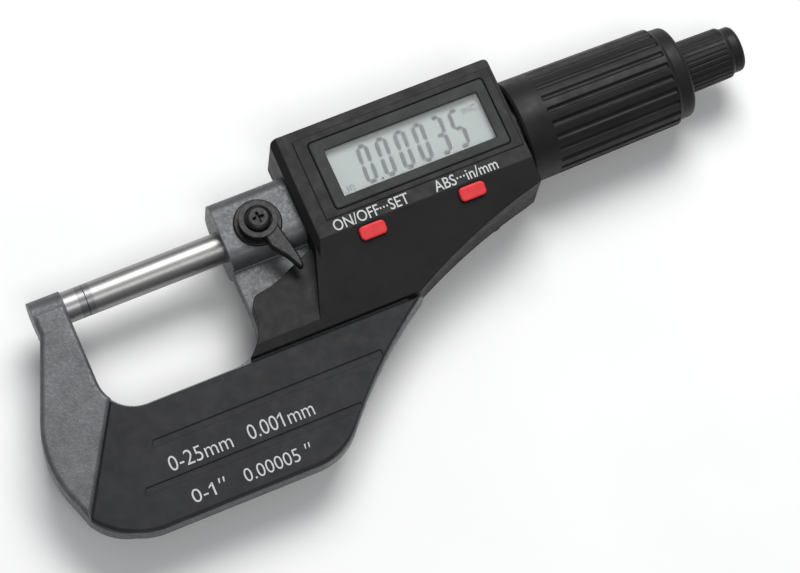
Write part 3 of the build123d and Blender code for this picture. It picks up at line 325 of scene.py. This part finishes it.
def flag_the_ones(mesh, height):
    """Adds the slanting flag to each plain upright stroke that stands for a figure one.

    A stroke's two caps and its sides are separate islands, so equal finds are merged.
    """
    made = bmesh.new()
    made.from_mesh(mesh)
    left = set(made.verts)
    levels = [v.co.z for v in made.verts]
    flags = set()
    while left:
        island, edge = set(), [left.pop()]
        while edge:
            v = edge.pop()
            island.add(v)
            near = {e.other_vert(v) for e in v.link_edges} & left
            left -= near
            edge += near
        xs = [v.co.x for v in island]
        ys = [v.co.y for v in island]
        width, tall = max(xs) - min(xs), max(ys) - min(ys)
        if width < 0.25 * height and tall > 0.8 * height:
            flags.add((round(min(xs), 7), round(max(ys), 7), round(width, 7)))
    for x, top, width in sorted(flags):
        reach = drop = 0.24 * height
        inner = x + 0.3 * width
        outline = [(inner, top), (x - reach, top - drop), (x - reach, top - drop - 0.9 * width),
                   (inner, top - 1.3 * width)]
        lower, upper = [[made.verts.new((px, py, z)) for px, py in outline]
                        for z in (min(levels), max(levels))]
        made.faces.new(upper)
        made.faces.new(lower[::-1])
        for i in range(len(outline)):
            j = (i + 1) % len(outline)
            made.faces.new([lower[i], lower[j], upper[j], upper[i]])
    made.verts.index_update()
    verts = [v.co.copy() for v in made.verts]
    faces = [[v.index for v in f.verts] for f in made.faces]
    made.free()
    mesh.clear_geometry()
    mesh.from_pydata(verts, [], faces)


PRINT_T = 0.00003
plate_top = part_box("front_grip_plate")[1].z
THIN = -0.006
BOLD = 0.006
METRIC_LINE = (-0.0401, -0.0370)
INCH_LINE = (-0.0477, -0.0448)
KEY_LINE = (-0.0086, -0.0062)
printed("mark_metric_range", "0-25mm", 0.0022, 0.0154, *METRIC_LINE, plate_top, weight=THIN)
printed("mark_metric_step", "0.001mm", 0.0189, 0.0328, *METRIC_LINE, plate_top, weight=THIN)
printed("mark_inch_range", "0-1\u2033", 0.0039, 0.0112, *INCH_LINE, plate_top, weight=THIN)
printed("mark_inch_step", "0.00005 \u2033", 0.0149, 0.0293, *INCH_LINE, plate_top, weight=THIN)

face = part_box("housing_front")[1].z
printed("mark_set", "ON/OFF\u00b7\u00b7\u00b7SET", 0.0503, 0.0666, *KEY_LINE, face, weight=BOLD)
printed("mark_mode", "ABS\u00b7\u00b7\u00b7in/mm", 0.0723, 0.0861, *KEY_LINE, face, weight=BOLD)

# ---------------------------------------------------------------- display digits

lcd_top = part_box("lcd_panel")[1].z
DIGIT_W = 0.0027
DIGIT_H = 0.0086
DIGIT_Y = -0.0015
DIGIT_LEFTS = [0.0605, 0.0646, 0.0687, 0.0727, 0.0768, 0.0808]
SEG_T = 0.00088
SEG_GAP = 0.00012
LEAN = 0.07
SEGMENTS = {"0": "abcdef", "3": "abcdg", "5": "acdfg"}


def bar(ax, ay, bx, by, thick):
    """Six-sided bar from a to b with pointed ends, as (x, y) corners."""
    a, b = Vector((ax, ay)), Vector((bx, by))
    along = (b - a).normalized()
    side = Vector((-along.y, along.x)) * thick / 2
    tip = along * thick * 0.42
    return [a, a + tip + side, b - tip + side, b, b - tip - side, a + tip - side]


def segment(name):
    """Corners of one segment of a digit whose lower left corner is the origin."""
    w, h, t, g = DIGIT_W, DIGIT_H, SEG_T, SEG_GAP
    l, r, low, mid, top = t / 2, w - t / 2, t / 2, h / 2, h - t / 2
    ends = {
        "a": (l + g, top, r - g, top), "b": (r, top - g, r, mid + g), "c": (r, mid - g, r, low + g),
        "d": (l + g, low, r - g, low), "e": (l, low + g, l, mid - g), "f": (l, mid + g, l, top - g),
        "g": (l + g, mid, r - g, mid),
    }
    return bar(*ends[name], t)


def prism(mesh_points, z_low, z_high):
    """Mesh of flat polygons given as corner lists, raised from z_low to z_high."""
    verts, faces = [], []
    for corners in mesh_points:
        n, first = len(corners), len(verts)
        area = sum(a.x * b.y - b.x * a.y for a, b in zip(corners, corners[1:] + corners[:1]))
        ordered = corners if area > 0 else corners[::-1]
        verts += [(p.x, p.y, z_low) for p in ordered] + [(p.x, p.y, z_high) for p in ordered]
        faces.append([first + n + i for i in range(n)])
        faces.append([first + i for i in reversed(range(n))])
        faces += [[first + i, first + (i + 1) % n, first + n + (i + 1) % n, first + n + i] for i in range(n)]
    mesh = bpy.data.meshes.new("digits")
    mesh.from_pydata(verts, [], faces)
    return mesh


def place(corners, left):
    return [Vector((left + p.x + LEAN * p.y, DIGIT_Y + p.y)) for p in corners]


shapes = []
for left, figure in zip(DIGIT_LEFTS, "000035"):
    shapes += [place(segment(key), left) for key in SEGMENTS[figure]]
point = [Vector((0.35 * SEG_T * math.cos(a), 0.35 * SEG_T * (1 + math.sin(a)))) for a in
         [math.tau * k / 10 for k in range(10)]]
shapes.append([p + Vector(((DIGIT_LEFTS[0] + DIGIT_W + DIGIT_LEFTS[1]) / 2, DIGIT_Y)) for p in point])
as_piece("display_digits", prism(shapes, lcd_top, lcd_top + PRINT_T), "lcd_dark", "frame")
printed("display_unit", "in", 0.0563, 0.0579, -0.0013, 0.0004, lcd_top, material="lcd_dark")
printed("display_mode", "INC.", 0.0845, 0.0880, 0.0051, 0.0066, lcd_top, material="lcd_dark")

# ---------------------------------------------------------------- floor, light and camera

low, high = cad_box
FLOOR_SIZE = 6.0
FLOOR_CLEAR = 0.00002
floor_mesh = bpy.data.meshes.new("floor")
half = FLOOR_SIZE / 2
floor_z = low.z - FLOOR_CLEAR
floor_mesh.from_pydata([(-half, -half, floor_z), (half, -half, floor_z), (half, half, floor_z),
                        (-half, half, floor_z)], [], [(0, 1, 2, 3)])
floor = bpy.data.objects.new("floor", floor_mesh)
bpy.context.scene.collection.objects.link(floor)
paper = Shader("paper", Roughness=0.9)
paper.color(paper.ramp(paper.noise(30), [(0.3, 0.86), (0.7, 0.88)]))
floor_mesh.materials.append(paper.mat)


def softbox(name, place, target, width, height, power):
    """Area light aimed at a point."""
    data = bpy.data.lights.new(name, "AREA")
    data.shape = "RECTANGLE"
    data.size, data.size_y = width, height
    data.energy = power
    lamp = bpy.data.objects.new(name, data)
    bpy.context.scene.collection.objects.link(lamp)
    lamp.location = place
    lamp.rotation_mode = "QUATERNION"
    lamp.rotation_quaternion = (Vector(target) - Vector(place)).to_track_quat("-Z", "Y")


middle = (low + high) / 2
softbox("key", (0.30, 0.40, 0.75), middle, 0.55, 0.45, 7.5)
softbox("front", (-0.05, -0.45, 0.85), middle, 0.5, 0.3, 2.2)

bpy.context.scene.view_settings.view_transform = "Standard"
world = bpy.data.worlds.new("studio")
bpy.context.scene.world = world
world.use_nodes = True
world.node_tree.nodes["Background"].inputs["Color"].default_value = (0.95, 0.97, 1.0, 1.0)
world.node_tree.nodes["Background"].inputs["Strength"].default_value = 0.26

TILT_LEFT = math.radians(11.0)
TILT_BELOW = math.radians(15.0)
ROLL = math.radians(21.565931)
CAMERA_DISTANCE = 0.643558
CAMERA_AIM = Vector((0.0594925, -0.0212656, 0.0))
camera_data = bpy.data.cameras.new("camera")
camera_data.sensor_width = 36.0
camera_data.lens = 144.0
camera_data.clip_start, camera_data.clip_end = 0.05, 20.0
camera = bpy.data.objects.new("camera", camera_data)
bpy.context.scene.collection.objects.link(camera)
camera_back = Vector((-math.sin(TILT_LEFT), -math.sin(TILT_BELOW), 0.0))
camera_back.z = math.sqrt(1.0 - camera_back.length_squared)
along_spindle = Vector((1.0, 0.0, 0.0))
along_spindle = (along_spindle - along_spindle.dot(camera_back) * camera_back).normalized()
across_spindle = camera_back.cross(along_spindle)
camera_right = math.cos(ROLL) * along_spindle - math.sin(ROLL) * across_spindle
camera_up = camera_back.cross(camera_right)
turn = Matrix((camera_right, camera_up, camera_back)).transposed().to_4x4()
camera.matrix_world = Matrix.Translation(CAMERA_AIM + CAMERA_DISTANCE * camera_back) @ turn
bpy.context.scene.camera = camera
